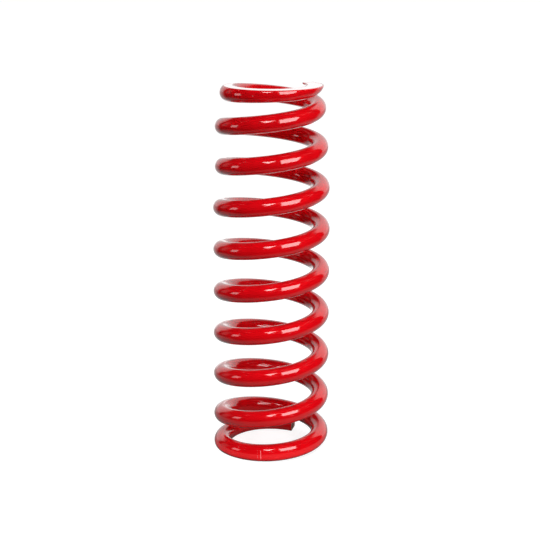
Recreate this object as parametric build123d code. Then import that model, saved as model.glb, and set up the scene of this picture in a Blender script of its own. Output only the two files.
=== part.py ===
from build123d import *
import os
from math import cos, pi, radians, sin

# Suspension coil spring, in millimetres. Z is the spring's axis and Z = 0 the lower ground face.

# Bar and coil sizes
wire_dia = 13.3
body_inner_dia = 63.5  # bore of the lower and middle coils
neck_inner_dia = 60.0  # bore of the coils below the upper end
seat_inner_dia = 52.5  # bore of the upper end coil
free_length = 286.0  # from ground face to ground face

# Winding, right-handed from the lower tip to the upper tip
total_turns = 9.91
start_angle = 64.5  # where the lower tip stands, degrees from +X
neck_turns_down = 3.33  # where the bore starts to narrow, counted from the upper tip
neck_blend_turns = 0.9
seat_turns_down = 1.53  # where the end coil starts to narrow, counted from the upper tip
seat_blend_turns = 0.85
lower_pitch_share = 0.951  # pitch of the lowest coils as a share of the middle pitch
upper_pitch_share = 0.819  # the same for the highest coils

# Closed and ground ends
lower_closing_turns = 1.26  # turns over which the pitch opens to the full one
upper_closing_turns = 1.29
lower_tip_thickness = 8.9  # what grinding leaves of the bar at the lower tip
upper_tip_thickness = 2.7
upper_tip_lift = 4.5  # how far the upper tip springs up off the winding
upper_lift_turns = 0.29
tip_gap = 0.6  # what the bar climbs in an end turn beyond its own diameter

# How finely the winding is worked out
points_per_turn = 16
steps_per_point = 12
pitch_rounds = 40

bar_radius = wire_dia / 2
body_radius = (body_inner_dia + wire_dia) / 2
neck_radius = (neck_inner_dia + wire_dia) / 2
seat_radius = (seat_inner_dia + wire_dia) / 2
neck_start = total_turns - neck_turns_down
seat_start = total_turns - seat_turns_down
lower_tip_height = lower_tip_thickness - bar_radius  # bar centre above the lower face
upper_tip_height = free_length + bar_radius - upper_tip_thickness
total_rise = upper_tip_height - upper_tip_lift - lower_tip_height
closed_rise = wire_dia + tip_gap
path_points = round(total_turns * points_per_turn) + 1
path_steps = (path_points - 1) * steps_per_point


def blend(share):
    """A smooth step from 0 to 1."""
    share = min(max(share, 0), 1)
    return share * share * (3 - 2 * share)


def coil_radius(turn):
    neck = blend((turn - neck_start) / neck_blend_turns)
    seat = blend((turn - seat_start) / seat_blend_turns)
    return body_radius + (neck_radius - body_radius) * neck + (seat_radius - neck_radius) * seat


def pitch_share(turn):
    """Pitch at a turn as a share of the middle pitch: a parabola through both ends and the middle."""
    place = 2 * turn / total_turns - 1
    bend = (lower_pitch_share + upper_pitch_share) / 2 - 1
    lean = (upper_pitch_share - lower_pitch_share) / 2
    return 1 + bend * place**2 + lean * place


def tip_opening(full_pitch, closing_turns):
    """Pitch at a tip as a share of the full pitch, for the end turn to climb by closed_rise."""
    mean_blend = 1 / closing_turns**2 - 1 / (2 * closing_turns**3)
    return (closed_rise / full_pitch - mean_blend) / (1 - mean_blend)


def opening(turns_in, tip_share, closing_turns):
    return tip_share + (1 - tip_share) * blend(turns_in / closing_turns)


def climb(middle_pitch):
    """Heights of the bar's centre above its lower end, at evenly spaced turns."""
    end_place = 2 / 3
    lower_tip = tip_opening(middle_pitch * pitch_share(end_place), lower_closing_turns)
    upper_tip = tip_opening(middle_pitch * pitch_share(total_turns - end_place), upper_closing_turns)
    step = total_turns / path_steps
    heights = [0]
    for n in range(path_steps):
        turn = (n + 0.5) * step
        lower = opening(turn, lower_tip, lower_closing_turns)
        upper = opening(total_turns - turn, upper_tip, upper_closing_turns)
        heights.append(heights[-1] + middle_pitch * pitch_share(turn) * min(lower, upper) * step)
    return heights


def winding_heights():
    """The heights for the middle pitch that gives the free length."""
    middle_pitch = total_rise / total_turns
    for _ in range(pitch_rounds):
        middle_pitch *= total_rise / climb(middle_pitch)[-1]
    return climb(middle_pitch)


def tip_lift(turn):
    return upper_tip_lift * max(1 - (total_turns - turn) / upper_lift_turns, 0) ** 2


def coil_path():
    heights = winding_heights()
    points = []
    for n in range(path_points):
        turn = total_turns * n / (path_points - 1)
        angle = radians(start_angle) + 2 * pi * turn
        radius = coil_radius(turn)
        height = lower_tip_height + heights[n * steps_per_point] + tip_lift(turn)
        points.append((radius * cos(angle), radius * sin(angle), height))
    return Spline(*points)


def ground_slab(height, below):
    """What the grinding wheel takes away at one end."""
    side = 4 * body_radius + 2 * wire_dia
    align = Align.MAX if below else Align.MIN
    return Pos(0, 0, height) * Box(side, side, 4 * wire_dia, align=(Align.CENTER, Align.CENTER, align))


def coil_spring():
    path = coil_path()
    start = Plane(origin=path @ 0, x_dir=(0, 0, 1), z_dir=path % 0)
    bar = sweep(start * Circle(bar_radius), path=path, is_frenet=True)
    return bar - ground_slab(0, True) - ground_slab(free_length, False)


def main():
    os.makedirs("parts", exist_ok=True)
    spring = coil_spring()
    spring.label = "coil_spring"
    export_step(spring, "parts/coil_spring.step")
    length = coil_path().length
    print(f"bar length {length:.1f} mm, solid {spring.volume:.0f} mm3, box {spring.bounding_box().size}")


main()
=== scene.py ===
import math

import bpy
from mathutils import Matrix, Vector


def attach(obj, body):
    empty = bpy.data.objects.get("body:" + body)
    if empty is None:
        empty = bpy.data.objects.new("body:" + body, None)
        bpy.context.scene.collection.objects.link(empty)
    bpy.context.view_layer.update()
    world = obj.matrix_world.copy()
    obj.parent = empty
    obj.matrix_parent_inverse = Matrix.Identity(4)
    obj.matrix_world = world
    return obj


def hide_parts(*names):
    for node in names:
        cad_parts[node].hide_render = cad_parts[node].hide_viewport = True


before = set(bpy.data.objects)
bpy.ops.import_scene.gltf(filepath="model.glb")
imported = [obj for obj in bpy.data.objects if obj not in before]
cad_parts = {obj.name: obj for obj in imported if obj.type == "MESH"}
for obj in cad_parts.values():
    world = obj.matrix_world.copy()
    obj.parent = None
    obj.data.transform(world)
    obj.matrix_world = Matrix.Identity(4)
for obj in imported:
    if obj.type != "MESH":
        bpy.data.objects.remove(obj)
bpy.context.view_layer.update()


# helpers for objects and node trees

def addObject(name, data):
    item = bpy.data.objects.new(name, data)
    bpy.context.scene.collection.objects.link(item)
    return item


def clearedTree(block):
    # the node tree of a new material or world, without the nodes it comes with
    block.use_nodes = True
    block.node_tree.nodes.clear()
    return block.node_tree


def addNode(tree, kind, **settings):
    node = tree.nodes.new(kind)
    for name, value in settings.items():
        setattr(node, name, value)
    return node


def findSocket(sockets, identifier):
    return next(s for s in sockets if s.identifier == identifier)


def feed(tree, socket, value):
    # value is an output socket to link, or a plain number, colour or vector
    if isinstance(value, bpy.types.NodeSocket):
        tree.links.new(value, socket)
    else:
        socket.default_value = value


def calculator(tree):
    # one tree's Math node as a function, so that a formula is short to write
    def calc(operation, *values):
        node = addNode(tree, "ShaderNodeMath", operation=operation)
        for socket, value in zip(node.inputs, values):
            feed(tree, socket, value)
        return node.outputs[0]

    return calc


def vectorCalc(tree, operation, *values):
    node = addNode(tree, "ShaderNodeVectorMath", operation=operation)
    for socket, value in zip(node.inputs, values):
        feed(tree, socket, value)
    return node.outputs["Value" if operation in ("DOT_PRODUCT", "DISTANCE") else "Vector"]


def scaled(tree, vector, factor):
    node = addNode(tree, "ShaderNodeVectorMath", operation="SCALE")
    feed(tree, node.inputs["Vector"], vector)
    feed(tree, node.inputs["Scale"], factor)
    return node.outputs["Vector"]


def combine(tree, x, y, z):
    node = addNode(tree, "ShaderNodeCombineXYZ")
    for socket, value in zip(node.inputs, (x, y, z)):
        feed(tree, socket, value)
    return node.outputs[0]


def split(tree, vector):
    node = addNode(tree, "ShaderNodeSeparateXYZ")
    feed(tree, node.inputs[0], vector)
    return node.outputs


def smoothRange(tree, value, limits, fromValue=0.0, toValue=1.0):
    # goes smoothly from fromValue at the first limit to toValue at the second
    node = addNode(tree, "ShaderNodeMapRange", interpolation_type="SMOOTHSTEP")
    low, high = limits
    for name, item in (("Value", value), ("From Min", low), ("From Max", high),
                       ("To Min", fromValue), ("To Max", toValue)):
        feed(tree, node.inputs[name], item)
    return node.outputs["Result"]


def degreesRange(tree, value, limits, fromValue=0.0, toValue=1.0):
    # the same for an angle, with its limits in degrees
    limits = [math.radians(limit) for limit in limits]
    return smoothRange(tree, value, limits, fromValue, toValue)


def arrange(tree):
    # columns by distance from the inputs, so the tree can be read in the editor
    depth = {}

    def depthOf(node):
        if node not in depth:
            depth[node] = 0
            sources = [link.from_node for socket in node.inputs for link in socket.links]
            depth[node] = 1 + max((depthOf(source) for source in sources), default=-1)
        return depth[node]

    rows = {}
    for node in tree.nodes:
        column = depthOf(node)
        rows[column] = rows.get(column, 0) + 1
        node.location = (column * 200, -rows[column] * 180)


# the coil spring, wound in Geometry Nodes by the same rules as the part

spring = {
    "bar radius": 0.00665,
    "body radius": 0.0384,  # to the bar's centre
    "neck radius": 0.03665,
    "seat radius": 0.0329,
    "free length": 0.286,
    "turns": 9.91,
    "start angle": math.radians(64.5),
    "neck start": 6.58,  # in turns from the lower tip, as are the other starts
    "neck blend": 0.9,
    "seat start": 8.38,
    "seat blend": 0.85,
    "lower pitch": 0.951,  # as a share of the middle pitch
    "upper pitch": 0.819,
    "lower closing": 1.26,
    "upper closing": 1.29,
    "lower tip": 0.0089,  # what grinding leaves of the bar
    "upper tip": 0.0027,
    "tip lift": 0.0045,
    "lift turns": 0.29,
    "end rise": 0.0139,
    "middle pitch": 0.03318,
    "edge rounding": 0.0006,
    "tip rounding": 0.0005,
    "cut length": 0.002,  # the lower tip is cut at a slant, longer on its inner side
    "cut slope": 0.2256,
    "cut turns": 0.05,
}
ringCount = 1151
roundRings = 5  # of them at each tip, for its rounded edge
barSides = 72


def tipOpening(pitchShare, closingTurns):
    # pitch at a tip as a share of the full one, so that the end turn climbs by the end rise
    meanBlend = 1 / closingTurns**2 - 1 / (2 * closingTurns**3)
    fullShare = spring["end rise"] / (spring["middle pitch"] * pitchShare)
    return (fullShare - meanBlend) / (1 - meanBlend)


def pitchShareAt(turn):
    place = 2 * turn / spring["turns"] - 1
    bend = (spring["lower pitch"] + spring["upper pitch"]) / 2 - 1
    return 1 + bend * place**2 + (spring["upper pitch"] - spring["lower pitch"]) / 2 * place


# the end turns take their pitch from this many turns inside the tips
inside = 2 / 3
spring["lower opening"] = tipOpening(pitchShareAt(inside), spring["lower closing"])
spring["upper opening"] = tipOpening(pitchShareAt(spring["turns"] - inside), spring["upper closing"])


def ringTurns(tree, given, index):
    # turns from the lower tip to each ring, and how far the ring is drawn in
    # the first rings at each tip stand close together and round its edge
    c = calculator(tree)
    middle = (ringCount - 1) / 2
    fromEnd = c("MINIMUM", index, c("SUBTRACT", ringCount - 1, index))
    roundAngle = c("MULTIPLY", c("MINIMUM", c("DIVIDE", fromEnd, roundRings), 1.0), math.pi / 2)
    roundShare = c("SUBTRACT", 1.0, c("COSINE", roundAngle))
    tipCircle = c("MULTIPLY", given["seat radius"], 2 * math.pi)
    roundTurns = c("DIVIDE", given["tip rounding"], tipCircle)
    halfTurns = c("MULTIPLY", given["turns"], 0.5)
    mainStep = c("DIVIDE", c("SUBTRACT", halfTurns, roundTurns), middle - roundRings)
    past = c("MAXIMUM", c("SUBTRACT", fromEnd, roundRings), 0.0)
    endTurn = c("ADD", c("MULTIPLY", roundTurns, roundShare), c("MULTIPLY", past, mainStep))
    upperHalf = c("GREATER_THAN", index, middle)
    mirrored = c("SUBTRACT", given["turns"], c("MULTIPLY", endTurn, 2.0))
    turn = c("ADD", endTurn, c("MULTIPLY", upperHalf, mirrored))
    inset = c("MULTIPLY", given["tip rounding"], c("SUBTRACT", 1.0, c("SINE", roundAngle)))
    return turn, inset


def ringHeights(tree, given, index, turn):
    # the pitch half way to the next ring, and its running sum as the height
    c = calculator(tree)
    following = addNode(tree, "GeometryNodeFieldAtIndex", data_type="FLOAT", domain="POINT")
    feed(tree, following.inputs["Index"], c("ADD", index, 1.0))
    feed(tree, following.inputs["Value"], turn)
    stepTurns = c("MAXIMUM", c("SUBTRACT", following.outputs[0], turn), 0.0)
    midTurn = c("ADD", turn, c("MULTIPLY", stepTurns, 0.5))
    halfTurns = c("MULTIPLY", given["turns"], 0.5)
    place = c("SUBTRACT", c("DIVIDE", midTurn, halfTurns), 1.0)
    bothPitches = c("ADD", given["lower pitch"], given["upper pitch"])
    bend = c("SUBTRACT", c("MULTIPLY", bothPitches, 0.5), 1.0)
    lean = c("MULTIPLY", c("SUBTRACT", given["upper pitch"], given["lower pitch"]), 0.5)
    share = c("ADD", c("MULTIPLY", c("ADD", c("MULTIPLY", bend, place), lean), place), 1.0)
    lowerEnd = smoothRange(tree, midTurn, (0.0, given["lower closing"]), given["lower opening"])
    fromTop = c("SUBTRACT", given["turns"], midTurn)
    upperEnd = smoothRange(tree, fromTop, (0.0, given["upper closing"]), given["upper opening"])
    pitch = c("MULTIPLY", share, c("MINIMUM", lowerEnd, upperEnd))
    total = addNode(tree, "GeometryNodeAccumulateField", data_type="FLOAT", domain="POINT")
    feed(tree, total.inputs["Value"], c("MULTIPLY", pitch, stepTurns))
    climbed = c("DIVIDE", total.outputs["Trailing"], total.outputs["Total"])
    lowerHeight = c("SUBTRACT", given["lower tip"], given["bar radius"])
    upperHeight = c("ADD", given["free length"], c("SUBTRACT", given["bar radius"], given["upper tip"]))
    rise = c("SUBTRACT", c("SUBTRACT", upperHeight, given["tip lift"]), lowerHeight)

    # the upper tip springs up off the winding
    toTip = c("SUBTRACT", given["turns"], turn)
    liftShare = c("MAXIMUM", c("SUBTRACT", 1.0, c("DIVIDE", toTip, given["lift turns"])), 0.0)
    lift = c("MULTIPLY", c("MULTIPLY", liftShare, liftShare), given["tip lift"])
    return c("ADD", c("ADD", lowerHeight, c("MULTIPLY", climbed, rise)), lift)


def ringRadii(tree, given, turn):
    # coil radius: body, neck, seat
    c = calculator(tree)
    neckLimits = (given["neck start"], c("ADD", given["neck start"], given["neck blend"]))
    neck = smoothRange(tree, turn, neckLimits, given["body radius"], given["neck radius"])
    seatLimits = (given["seat start"], c("ADD", given["seat start"], given["seat blend"]))
    narrowing = c("SUBTRACT", given["neck radius"], given["seat radius"])
    return c("SUBTRACT", neck, smoothRange(tree, turn, seatLimits, 0.0, narrowing))


def skinOffset(tree, given, ring, around):
    # from a ring's centre to the bar's skin, which is round but for the two ground planes
    c = calculator(tree)
    leastSine = 0.001
    centreHeight = split(tree, ring["centre"])["Z"]
    upwardZ = split(tree, ring["upward"])["Z"]
    below = c("DIVIDE", centreHeight, upwardZ)
    above = c("DIVIDE", c("SUBTRACT", given["free length"], centreHeight), upwardZ)
    lowered = c("MINIMUM", c("MULTIPLY", c("SUBTRACT", above, given["bar radius"]), 0.5), 0.0)
    raised = c("MAXIMUM", c("MULTIPLY", c("SUBTRACT", given["bar radius"], below), 0.5), 0.0)
    # distances are taken from the middle of what grinding leaves of the section
    shift = c("ADD", lowered, raised)
    sine = c("SINE", around)
    cosine = c("COSINE", around)
    across = c("MULTIPLY", shift, cosine)
    reach = c("MULTIPLY", given["bar radius"], given["bar radius"])
    reach = c("SUBTRACT", reach, c("MULTIPLY", across, across))
    toRound = c("SUBTRACT", c("SQRT", reach), c("MULTIPLY", shift, sine))
    toUpper = c("DIVIDE", c("SUBTRACT", above, shift), c("MAXIMUM", sine, leastSine))
    toLower = c("DIVIDE", c("ADD", below, shift),
                c("MAXIMUM", c("MULTIPLY", sine, -1.0), leastSine))
    outline = c("SMOOTH_MIN", toRound, toUpper, given["edge rounding"])
    outline = c("SMOOTH_MIN", outline, toLower, given["edge rounding"])
    outline = c("SUBTRACT", outline, ring["inset"])
    upShare = c("ADD", c("MULTIPLY", outline, sine), shift)
    sideShare = c("MULTIPLY", outline, cosine)
    offset = vectorCalc(tree, "ADD", scaled(tree, ring["square"], sideShare),
                        scaled(tree, ring["upward"], upShare))

    # the slant of the lower tip
    slant = c("SUBTRACT", c("MULTIPLY", sideShare, given["cut slope"]), given["cut length"])
    slant = c("MULTIPLY", slant, ring["near tip"])
    return vectorCalc(tree, "ADD", offset, scaled(tree, ring["ahead"], slant))


def coilTree(material):
    tree = bpy.data.node_groups.new("coilSpring", "GeometryNodeTree")
    tree.interface.new_socket("Geometry", in_out="INPUT", socket_type="NodeSocketGeometry")
    for name in spring:
        tree.interface.new_socket(name, in_out="INPUT", socket_type="NodeSocketFloat")
    tree.interface.new_socket("Geometry", in_out="OUTPUT", socket_type="NodeSocketGeometry")
    given = addNode(tree, "NodeGroupInput").outputs
    c = calculator(tree)

    # the path: a line with a point for each ring, and each point set in its place
    index = addNode(tree, "GeometryNodeInputIndex").outputs[0]
    turn, inset = ringTurns(tree, given, index)
    height = ringHeights(tree, given, index, turn)
    angle = c("ADD", given["start angle"], c("MULTIPLY", turn, 2 * math.pi))
    outward = combine(tree, c("COSINE", angle), c("SINE", angle), 0.0)
    centre = vectorCalc(tree, "ADD", scaled(tree, outward, ringRadii(tree, given, turn)),
                        combine(tree, 0.0, 0.0, height))
    line = addNode(tree, "GeometryNodeCurvePrimitiveLine")
    rings = addNode(tree, "GeometryNodeResampleCurve", mode="COUNT")
    rings.inputs["Count"].default_value = ringCount
    feed(tree, rings.inputs["Curve"], line.outputs[0])
    path = addNode(tree, "GeometryNodeSetPosition")
    feed(tree, path.inputs["Geometry"], rings.outputs[0])
    feed(tree, path.inputs["Position"], centre)

    # two directions square to the path, kept on each ring with what else its skin needs
    tangent = addNode(tree, "GeometryNodeInputTangent").outputs[0]
    alongShare = vectorCalc(tree, "DOT_PRODUCT", outward, tangent)
    square = vectorCalc(tree, "SUBTRACT", outward, scaled(tree, tangent, alongShare))
    square = vectorCalc(tree, "NORMALIZE", square)
    upward = vectorCalc(tree, "CROSS_PRODUCT", square, tangent)
    position = addNode(tree, "GeometryNodeInputPosition").outputs[0]
    nearTip = smoothRange(tree, turn, (0.0, given["cut turns"]), 1.0, 0.0)
    onPath = addNode(tree, "GeometryNodeCaptureAttribute", domain="POINT")
    feed(tree, onPath.inputs["Geometry"], path.outputs[0])
    for name, kind, value in (("centre", "VECTOR", position), ("square", "VECTOR", square),
                              ("upward", "VECTOR", upward), ("inset", "FLOAT", inset),
                              ("ahead", "VECTOR", tangent), ("near tip", "FLOAT", nearTip)):
        onPath.capture_items.new(kind, name)
        feed(tree, onPath.inputs[name], value)

    # a thin tube along the path, whose skin is then set at its distance
    circle = addNode(tree, "GeometryNodeCurvePrimitiveCircle")
    circle.inputs["Resolution"].default_value = barSides
    circle.inputs["Radius"].default_value = 0.001
    onCircle = addNode(tree, "GeometryNodeCaptureAttribute", domain="POINT")
    onCircle.capture_items.new("FLOAT", "around")
    feed(tree, onCircle.inputs["Geometry"], circle.outputs["Curve"])
    feed(tree, onCircle.inputs["around"], c("MULTIPLY", index, 2 * math.pi / barSides))
    tube = addNode(tree, "GeometryNodeCurveToMesh")
    tube.inputs["Fill Caps"].default_value = True
    feed(tree, tube.inputs["Curve"], onPath.outputs["Geometry"])
    feed(tree, tube.inputs["Profile Curve"], onCircle.outputs["Geometry"])
    offset = skinOffset(tree, given, onPath.outputs, onCircle.outputs["around"])
    shaped = addNode(tree, "GeometryNodeSetPosition")
    feed(tree, shaped.inputs["Geometry"], tube.outputs[0])
    feed(tree, shaped.inputs["Position"], vectorCalc(tree, "ADD", onPath.outputs["centre"], offset))
    outside = addNode(tree, "GeometryNodeFlipFaces")
    feed(tree, outside.inputs["Mesh"], shaped.outputs[0])
    real = addNode(tree, "GeometryNodeRealizeInstances")
    feed(tree, real.inputs[0], outside.outputs[0])
    coated = addNode(tree, "GeometryNodeSetMaterial")
    coated.inputs["Material"].default_value = material
    feed(tree, coated.inputs["Geometry"], real.outputs[0])
    result = addNode(tree, "NodeGroupOutput")
    feed(tree, result.inputs[0], coated.outputs[0])
    arrange(tree)
    return tree


coat = {
    "red": (0.74, 0.002, 0.006, 1),
    "deeper red": (0.69, 0.0015, 0.005, 1),
    "mottle scale": 85,
    # painted light: a lighter red on the ground faces stands in for light from above on the top face
    "painted lit face red": (0.80, 0.012, 0.02, 1),  # on the ground faces
    "ground face depth": (0.0001, 0.00035),
    "lower end face": (0.5, 0.27, 0.22, 1),
    # painted shade: the upper tip's cut face and a thin rim round it are near-black
    "upper end painted shade": (0.06, 0.05, 0.05, 1),
    "end face depth": (0.0003, 0.0006),
    "lower end size": 0.0095,
    "lower end top": (0.009, 0.0094),
    "upper end size": 0.0078,
    "grain scale": 900,
    "roughness": (0.09, 0.12),  # under the clear coat
    "roughness scale": 150,
    "bare roughness": 0.4,  # added where the coat is gone
    "coat roughness": 0.033,
    "index of refraction": 1.5,
    "peel scale": 430,
    "peel height": 0.000007,
    "scratch": (0.95, 0.42, 0.42, 1),
    "scratch strength": 0.36,
    "scratch depth": 4.0,  # in peel heights
    "scratch x": -0.0079,
    "dotted scratch x": -0.0104,
    "scratch bottom": 0.0027,
    "scratch top": 0.0103,
    "scratch fade": 0.001,
    "scratch half width": 0.0003,
    "scratch wander": 0.0009,
    "scratch wander scale": 260,
    "front": (-0.03, -0.035),  # the scratches are only on the coil's front
    # pale specks: place and size
    "specks": (
        ((-0.01375, -0.03699, 0.28174), 0.0004),
        ((-0.02451, -0.03289, 0.25401), 0.00045),
    ),
}


def noise(tree, vector, scale, detail):
    node = addNode(tree, "ShaderNodeTexNoise")
    feed(tree, node.inputs["Vector"], vector)
    node.inputs["Scale"].default_value = scale
    node.inputs["Detail"].default_value = detail
    return findSocket(node.outputs, "Fac")


def mixed(tree, share, below, above):
    node = addNode(tree, "ShaderNodeMix", data_type="RGBA")
    feed(tree, findSocket(node.inputs, "Factor_Float"), share)
    feed(tree, findSocket(node.inputs, "A_Color"), below)
    feed(tree, findSocket(node.inputs, "B_Color"), above)
    return findSocket(node.outputs, "Result_Color")


def nearTo(tree, place, centre, radius):
    # 1 within the radius of a centre, fading to 0 just outside it
    distance = vectorCalc(tree, "DISTANCE", place, centre)
    return smoothRange(tree, distance, (radius * 0.8, radius * 1.3), 1.0, 0.0)


def endFace(tree, place, turn, radius, height, side, size, length=0.0, slope=0.0):
    # 1 on the cut end of the bar at a tip; side is 1 where the bar ends ahead, -1 where it begins
    c = calculator(tree)
    angle = spring["start angle"] + 2 * math.pi * turn
    cosine = math.cos(angle)
    sine = math.sin(angle)
    facing = (slope * cosine - side * sine, slope * sine + side * cosine, 0)
    reached = vectorCalc(tree, "DOT_PRODUCT", place, facing)
    off = c("ABSOLUTE", c("SUBTRACT", reached, length + slope * radius))
    near = nearTo(tree, place, (cosine * radius, sine * radius, height), size)
    return c("MULTIPLY", smoothRange(tree, off, coat["end face depth"], 1.0, 0.0), near)


def bareEndsAndShade(tree, place):
    # the cut faces of the lower and the upper tip, bare and dull; the upper one's mask also carries a
    # painted shade
    c = calculator(tree)
    lower = endFace(tree, place, turn=0, radius=spring["body radius"],
                    height=spring["lower tip"] / 2, side=-1, size=coat["lower end size"],
                    length=spring["cut length"], slope=spring["cut slope"])
    z = split(tree, place)["Z"]
    lower = c("MULTIPLY", lower, smoothRange(tree, z, coat["lower end top"], 1.0, 0.0))
    upper = endFace(tree, place, turn=spring["turns"], radius=spring["seat radius"],
                    height=spring["free length"] - spring["upper tip"] / 2, side=1,
                    size=coat["upper end size"])
    return lower, upper


def scratches(tree, place, grain):
    # a fine upright scratch on the lowest coil, a dotted one beside it, and two specks
    c = calculator(tree)
    x, y, z = split(tree, place)
    wander = c("SUBTRACT", noise(tree, place, coat["scratch wander scale"], 1), 0.5)
    wavy = c("ADD", x, c("MULTIPLY", wander, coat["scratch wander"]))
    width = coat["scratch half width"]

    def stripe(where, strength):
        off = c("ABSOLUTE", c("SUBTRACT", wavy, where))
        return smoothRange(tree, off, (width * 0.7, width * 1.3), strength, 0.0)

    line = stripe(coat["scratch x"], 1.0)
    dotted = c("MULTIPLY", stripe(coat["dotted scratch x"], 0.5),
               smoothRange(tree, grain, (0.52, 0.6)))
    bottom = coat["scratch bottom"]
    top = coat["scratch top"]
    fade = coat["scratch fade"]
    upright = c("MULTIPLY", smoothRange(tree, z, (bottom, bottom + fade)),
                smoothRange(tree, z, (top - fade, top), 1.0, 0.0))
    marked = c("MULTIPLY", c("MAXIMUM", line, dotted), upright)
    marked = c("MULTIPLY", marked, smoothRange(tree, y, coat["front"]))
    for centre, radius in coat["specks"]:
        marked = c("MAXIMUM", marked, nearTo(tree, place, centre, radius))
    return marked


def powderCoat():
    material = bpy.data.materials.new("powderCoat")
    material.use_nodes = True
    tree = material.node_tree
    shader = tree.nodes["Principled BSDF"]
    c = calculator(tree)
    place = addNode(tree, "ShaderNodeTexCoord").outputs["Object"]
    grain = noise(tree, place, coat["grain scale"], 3)
    lowerEnd, upperEnd = bareEndsAndShade(tree, place)
    scratched = scratches(tree, place, grain)

    # the red itself, a little uneven, and a lighter red on the ground faces, painted light standing in
    # for light from above on the top face
    uneven = smoothRange(tree, noise(tree, place, coat["mottle scale"], 4), (0.35, 0.65))
    colour = mixed(tree, uneven, coat["deeper red"], coat["red"])
    z = split(tree, place)["Z"]
    least, most = coat["ground face depth"]
    length = spring["free length"]
    upperFace = smoothRange(tree, z, (length - most, length - least))
    lowerFace = smoothRange(tree, z, (least, most), 1.0, 0.0)
    colour = mixed(tree, c("MAXIMUM", upperFace, lowerFace), colour, coat["painted lit face red"])
    speckled = c("MULTIPLY", lowerEnd, smoothRange(tree, grain, (0.3, 0.6), 0.6, 1.0))
    colour = mixed(tree, speckled, colour, coat["lower end face"])
    # painted shade: the upper tip's cut face goes near-black
    colour = mixed(tree, upperEnd, colour, coat["upper end painted shade"])
    colour = mixed(tree, c("MULTIPLY", scratched, coat["scratch strength"]), colour, coat["scratch"])
    feed(tree, shader.inputs["Base Color"], colour)

    # gloss, lower on the scratches and gone on the bare ends
    dulled = c("MAXIMUM", c("MAXIMUM", lowerEnd, upperEnd), c("MULTIPLY", scratched, 0.6))
    cloudy = noise(tree, place, coat["roughness scale"], 2)
    gloss = smoothRange(tree, cloudy, (0.3, 0.7), *coat["roughness"])
    rough = c("ADD", gloss, c("MULTIPLY", dulled, coat["bare roughness"]))
    feed(tree, shader.inputs["Roughness"], rough)
    feed(tree, shader.inputs["Coat Weight"], c("SUBTRACT", 1.0, c("MULTIPLY", dulled, 0.9)))
    shader.inputs["Coat Roughness"].default_value = coat["coat roughness"]
    shader.inputs["IOR"].default_value = coat["index of refraction"]
    shader.inputs["Coat IOR"].default_value = coat["index of refraction"]

    # orange peel, and the scratches' slight depth
    peel = noise(tree, place, coat["peel scale"], 2)
    relief = addNode(tree, "ShaderNodeBump")
    relief.inputs["Strength"].default_value = 1.0
    relief.inputs["Distance"].default_value = coat["peel height"]
    depth = c("MULTIPLY", scratched, coat["scratch depth"])
    feed(tree, relief.inputs["Height"], c("SUBTRACT", peel, depth))
    feed(tree, shader.inputs["Normal"], relief.outputs["Normal"])
    feed(tree, shader.inputs["Coat Normal"], relief.outputs["Normal"])
    arrange(tree)
    return material


def buildSpring():
    piece = addObject("coilSpring", bpy.data.meshes.new("coilSpring"))
    tree = coilTree(powderCoat())
    modifier = piece.modifiers.new("coil", "NODES")
    modifier.node_group = tree
    for item in tree.interface.items_tree:
        if item.in_out == "INPUT" and item.name in spring:
            modifier[item.identifier] = spring[item.name]
    evaluated = piece.evaluated_get(bpy.context.evaluated_depsgraph_get())
    mesh = bpy.data.meshes.new_from_object(evaluated)
    piece.modifiers.clear()
    piece.data = mesh
    mesh.name = "coilSpring"
    mesh.shade_smooth()
    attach(piece, "root")
    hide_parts("coil_spring")
    return piece


coil = buildSpring()
print("spring:", len(coil.data.vertices), "vertices,", len(coil.data.polygons), "faces")


# camera, as in the photo

view = {
    "place": (0, -1.08489, 0.40732),
    "sensor": 36,
    "lens": 95.33,
    "shift": 0.0004,
    "far limit": 50,
    "looks down": 13.7811,  # in degrees, as is the roll
    "roll": 0.1125,
}
camera = addObject("camera", bpy.data.cameras.new("camera"))
bpy.context.scene.camera = camera
camera.data.sensor_width = view["sensor"]
camera.data.lens = view["lens"]
camera.data.shift_x = view["shift"]
camera.data.clip_end = view["far limit"]
camera.location = view["place"]
tilt = Matrix.Rotation(math.radians(90 - view["looks down"]), 4, "X")
camera.rotation_euler = (tilt @ Matrix.Rotation(math.radians(view["roll"]), 4, "Z")).to_euler()
print("camera: placed")


# floor
# pairs are limits between which a glow changes: distances from the spring's axis, or bearings in
# degrees from the front, with the right side positive

floorLook = {
    "side": 12,
    "colour": (0.3, 0.3, 0.3, 1),
    # its own glow, which the camera sees
    "near glow": 0.86,
    "far glow": 1.0,
    "glow distances": (0.12, 0.6),
    # what the coat mirrors of it
    "dark": 0.012,
    "near": 0.24,
    "near lean": 0.05,  # more towards the near bearing, less away from it
    "near bearing": 150,
    "reach": 0.15,  # how far the near part goes at the reach bearing, and far from it
    "wide reach": 0.45,
    "reach bearing": -10,
    "reach bearings": (50, 110),
    "reach fade": (0.6, 1.6),
    "near foot": 0.25,  # share of it that is left under the spring
    "near foot distances": (0.03, 0.07),
    "near behind": 0.6,
    "near behind bearings": (149, 174.8),
    "far": 0.4,
    "right bearings": (108, 122),
    "left bearings": (122, 144),
    "far foot": 0.2,
    "far foot distances": (0.03, 0.12),
    "behind bearings": (146.1, 166.2),
    "behind distances": (0.15, 0.4),
    # what it casts on the paint
    "right light": 0.065,
    "right light bearing": 45,
    "right light bearings": (20, 65),
    "light at the foot": 2.0,
    "foot inner": (0.046, 0.048),
    "foot outer": (0.052, 0.062),
    "foot front": (0.02, 0.0),
}


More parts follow.
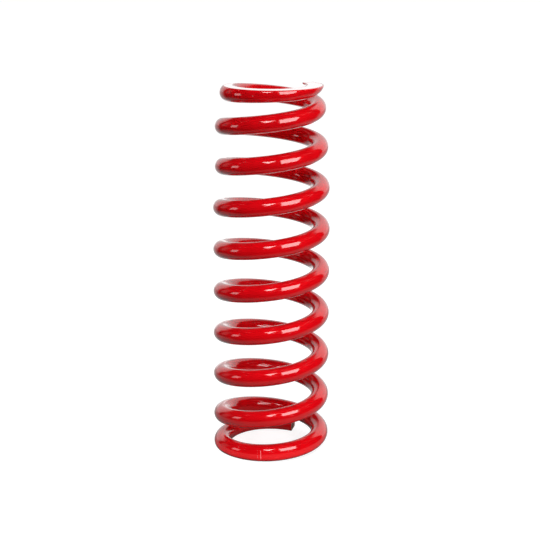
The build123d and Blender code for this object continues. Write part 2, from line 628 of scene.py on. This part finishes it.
def mirroredFloor(tree, distance, bearing):
    # brightness of the floor round the spring as the coat mirrors it
    c = calculator(tree)
    look = floorLook
    lean = c("COSINE", c("SUBTRACT", bearing, math.radians(look["near bearing"])))
    near = c("ADD", look["near"], c("MULTIPLY", lean, look["near lean"]))
    turned = c("ABSOLUTE", c("SUBTRACT", bearing, math.radians(look["reach bearing"])))
    reach = degreesRange(tree, turned, look["reach bearings"], look["reach"], look["wide reach"])
    fade = smoothRange(tree, c("DIVIDE", distance, reach), look["reach fade"], 1.0, 0.0)
    near = c("MULTIPLY", near, fade)
    # painted shade: the mirrored floor is dimmer under the spring and straight behind it
    near = c("MULTIPLY", near,
             smoothRange(tree, distance, look["near foot distances"], look["near foot"], 1.0))
    aside = c("ABSOLUTE", bearing)
    near = c("MULTIPLY", near,
             degreesRange(tree, aside, look["near behind bearings"], 1.0, look["near behind"]))

    right = degreesRange(tree, bearing, look["right bearings"], 0.0, look["far"])
    leftward = c("MULTIPLY", bearing, -1.0)
    left = degreesRange(tree, leftward, look["left bearings"], 0.0, look["far"])
    # painted shade: the far floor too is dimmer close to the spring
    far = c("MULTIPLY", c("MAXIMUM", right, left),
            smoothRange(tree, distance, look["far foot distances"], look["far foot"], 1.0))
    # at a grazing angle the coat mirrors the bright floor straight behind it
    behind = c("MULTIPLY", degreesRange(tree, aside, look["behind bearings"]),
               smoothRange(tree, distance, look["behind distances"]))
    far = c("MAXIMUM", far, behind)
    return c("ADD", c("MAXIMUM", near, far), look["dark"])


def lightOnPaint(tree, y, distance, bearing):
    # what the floor casts on the paint: a little from the right, and a bright ring at the foot
    c = calculator(tree)
    look = floorLook
    away = c("ABSOLUTE", c("SUBTRACT", bearing, math.radians(look["right light bearing"])))
    fromRight = degreesRange(tree, away, look["right light bearings"], look["right light"], 0.0)
    foot = c("MULTIPLY", smoothRange(tree, distance, look["foot inner"]),
             smoothRange(tree, distance, look["foot outer"], 1.0, 0.0))
    foot = c("MULTIPLY", foot, look["light at the foot"])
    return c("ADD", fromRight, c("MULTIPLY", foot, smoothRange(tree, y, look["foot front"])))


def buildFloor():
    material = bpy.data.materials.new("floor")
    tree = clearedTree(material)
    c = calculator(tree)
    x, y = split(tree, addNode(tree, "ShaderNodeNewGeometry").outputs["Position"])[:2]
    distance = c("SQRT", c("ADD", c("MULTIPLY", x, x), c("MULTIPLY", y, y)))
    bearing = c("ARCTAN2", x, c("MULTIPLY", y, -1.0))

    # the camera sees it white, with the spring's soft shadow
    # the lamps light it less and less outwards, and its glow makes up for that
    white = addNode(tree, "ShaderNodeBsdfDiffuse")
    white.inputs["Color"].default_value = floorLook["colour"]
    glow = addNode(tree, "ShaderNodeEmission")
    ownGlow = smoothRange(tree, distance, floorLook["glow distances"],
                          floorLook["near glow"], floorLook["far glow"])
    feed(tree, glow.inputs["Strength"], ownGlow)
    seen = addNode(tree, "ShaderNodeAddShader")
    feed(tree, seen.inputs[0], white.outputs[0])
    feed(tree, seen.inputs[1], glow.outputs[0])

    # for other rays it is plain light: one brightness for the paint, another for its gloss
    rays = addNode(tree, "ShaderNodeLightPath").outputs
    mirrored = mirroredFloor(tree, distance, bearing)
    change = c("SUBTRACT", lightOnPaint(tree, y, distance, bearing), mirrored)
    lit = addNode(tree, "ShaderNodeEmission")
    feed(tree, lit.inputs["Strength"],
         c("ADD", mirrored, c("MULTIPLY", rays["Is Diffuse Ray"], change)))
    byCamera = addNode(tree, "ShaderNodeMixShader")
    feed(tree, byCamera.inputs[0], rays["Is Camera Ray"])
    feed(tree, byCamera.inputs[1], lit.outputs[0])
    feed(tree, byCamera.inputs[2], seen.outputs[0])
    result = addNode(tree, "ShaderNodeOutputMaterial")
    feed(tree, result.inputs["Surface"], byCamera.outputs[0])
    arrange(tree)

    side = floorLook["side"]
    corners = [(-side, -side, 0), (side, -side, 0), (side, side, 0), (-side, side, 0)]
    mesh = bpy.data.meshes.new("floor")
    mesh.from_pydata(corners, [], [(0, 1, 2, 3)])
    mesh.materials.append(material)
    floor = addObject("floor", mesh)


buildFloor()
print("floor: laid")


# studio: what the coat reflects, and the light on the paint
# pairs are limits in degrees, of a bearing or of a height over the horizon

studio = {
    "white": 1.0,  # for the camera
    "dark": 0.012,
    "fill": 0.03,
    "on paint": 0.55,  # share of the walls' brightness
    "right wall": 0.97,
    "right wall bearings": (120, 124),
    "right wall top": (43, 52),
    "right wall behind": 0.78,
    "right wall behind bearings": (150, 180),
    "left wall": 0.75,
    "left wall bearings": (128, 140),
    "left wall top": (24, 34),
    "left band": 0.22,
    "left band from": (98, 108),
    "left band to": (116, 125),
    "left band top": (20, 34),
    "horizon": 0.84,
    "horizon aside": (3, 5),
    "horizon from": (3, 5),
    "horizon to": (8.5, 10),
}


def buildWorld():
    world = bpy.data.worlds.new("studio")
    bpy.context.scene.world = world
    tree = clearedTree(world)
    c = calculator(tree)

    def grows(value, name, toValue=1.0):
        return degreesRange(tree, value, studio[name], 0.0, toValue)

    def fades(value, name, toValue=0.0):
        return degreesRange(tree, value, studio[name], 1.0, toValue)

    # bearing round the spring from the front, and height over the horizon
    x, y, z = split(tree, addNode(tree, "ShaderNodeTexCoord").outputs["Generated"])
    bearing = c("ARCTAN2", x, c("MULTIPLY", y, -1.0))
    height = c("ARCSINE", z)
    leftward = c("MULTIPLY", bearing, -1.0)
    rightWall = c("MULTIPLY", grows(bearing, "right wall bearings", studio["right wall"]),
                  fades(height, "right wall top"))
    rightWall = c("MULTIPLY", rightWall,
                  fades(bearing, "right wall behind bearings", studio["right wall behind"]))
    leftWall = c("MULTIPLY", grows(leftward, "left wall bearings", studio["left wall"]),
                 fades(height, "left wall top"))
    band = c("MULTIPLY", grows(leftward, "left band from", studio["left band"]),
             fades(leftward, "left band to"))
    band = c("MULTIPLY", band, fades(height, "left band top"))
    reflected = c("MAXIMUM", c("MAXIMUM", rightWall, leftWall), band)
    # the pale backdrop is brightest straight behind, low down
    aside = c("SUBTRACT", math.pi, c("ABSOLUTE", bearing))
    horizon = c("MULTIPLY", degreesRange(tree, aside, studio["horizon aside"], studio["horizon"], 0.0),
                c("MULTIPLY", grows(height, "horizon from"), fades(height, "horizon to")))
    reflected = c("ADD", c("ADD", reflected, horizon), studio["dark"])

    # the paint gets the fill, its gloss what it reflects, and the camera white
    fill = c("ADD", c("MULTIPLY", reflected, studio["on paint"]), studio["fill"])
    rays = addNode(tree, "ShaderNodeLightPath").outputs
    strength = c("ADD", fill, c("MULTIPLY", rays["Is Glossy Ray"], c("SUBTRACT", reflected, fill)))
    whiter = c("SUBTRACT", studio["white"], strength)
    strength = c("ADD", strength, c("MULTIPLY", rays["Is Camera Ray"], whiter))
    background = addNode(tree, "ShaderNodeBackground")
    feed(tree, background.inputs["Strength"], strength)
    result = addNode(tree, "ShaderNodeOutputWorld")
    feed(tree, result.inputs["Surface"], background.outputs[0])
    arrange(tree)


lamps = {
    # mirrored in the coat: place, direction, width, height and brightness
    "mirrored": {
        "softbox": ((0.2112, -0.3026, 0.3355), (-0.3649, 0.7624, -0.5348), 0.2494, 0.2691, 5.2),
        "leftLamp": ((-0.605, -0.135, 0.24), (0.98, 0.2, 0), 0.18, 0.2, 1.9),
    },
    # on the paint: bearing and height in degrees, and brightness
    "on paint": {
        "frontFill": (-5, 31, 11.6),
        "leftFill": (-90, 45, 8.0),
        "rightFill": (90, 45, 8.0),
        "lowFill": (38, 6, 10.0),
    },
    "size": 0.4,  # of each lamp on the paint
    "card": [(-0.150, -0.286, 0.473), (0.0175, -0.234, 0.411), (-0.071, -0.425, 0.373)],
    "card brightness": 7.0,
}


def areaLamp(name, centre, facing, width, height, brightness):
    # a lamp that the coat mirrors and that lights nothing else
    data = bpy.data.lights.new(name, "AREA")
    data.shape = "RECTANGLE"
    data.size = width
    data.size_y = height
    data.energy = brightness * math.pi * width * height
    lamp = addObject(name, data)
    lamp.location = centre
    lamp.rotation_euler = Vector(facing).to_track_quat("-Z", "Y").to_euler()
    lamp.visible_camera = False
    lamp.visible_diffuse = False
    return lamp


def paintLamp(name, bearing, height, brightness):
    # a soft lamp a metre from the spring's middle that lights the paint and isn't mirrored
    turn = math.radians(bearing)
    rise = math.radians(height)
    way = Vector((math.sin(turn) * math.cos(rise), -math.cos(turn) * math.cos(rise), math.sin(rise)))
    middle = Vector((0, 0, spring["free length"] / 2))
    lamp = areaLamp(name, middle + way, -way, lamps["size"], lamps["size"], brightness)
    lamp.visible_diffuse = True
    lamp.visible_glossy = False


def lightCard(name, corners, brightness):
    # a bright card that only the coat's gloss shows
    material = bpy.data.materials.new(name)
    tree = clearedTree(material)
    glow = addNode(tree, "ShaderNodeEmission")
    glow.inputs["Strength"].default_value = brightness
    result = addNode(tree, "ShaderNodeOutputMaterial")
    feed(tree, result.inputs["Surface"], glow.outputs[0])
    mesh = bpy.data.meshes.new(name)
    mesh.from_pydata(corners, [], [tuple(range(len(corners)))])
    mesh.materials.append(material)
    card = addObject(name, mesh)
    card.visible_camera = False
    card.visible_diffuse = False


buildWorld()
for name, settings in lamps["mirrored"].items():
    areaLamp(name, *settings)
for name, settings in lamps["on paint"].items():
    paintLamp(name, *settings)
lightCard("foldedCard", lamps["card"], lamps["card brightness"])
print("studio: world, lamps and a card")

bpy.context.scene.view_settings.view_transform = "Standard"
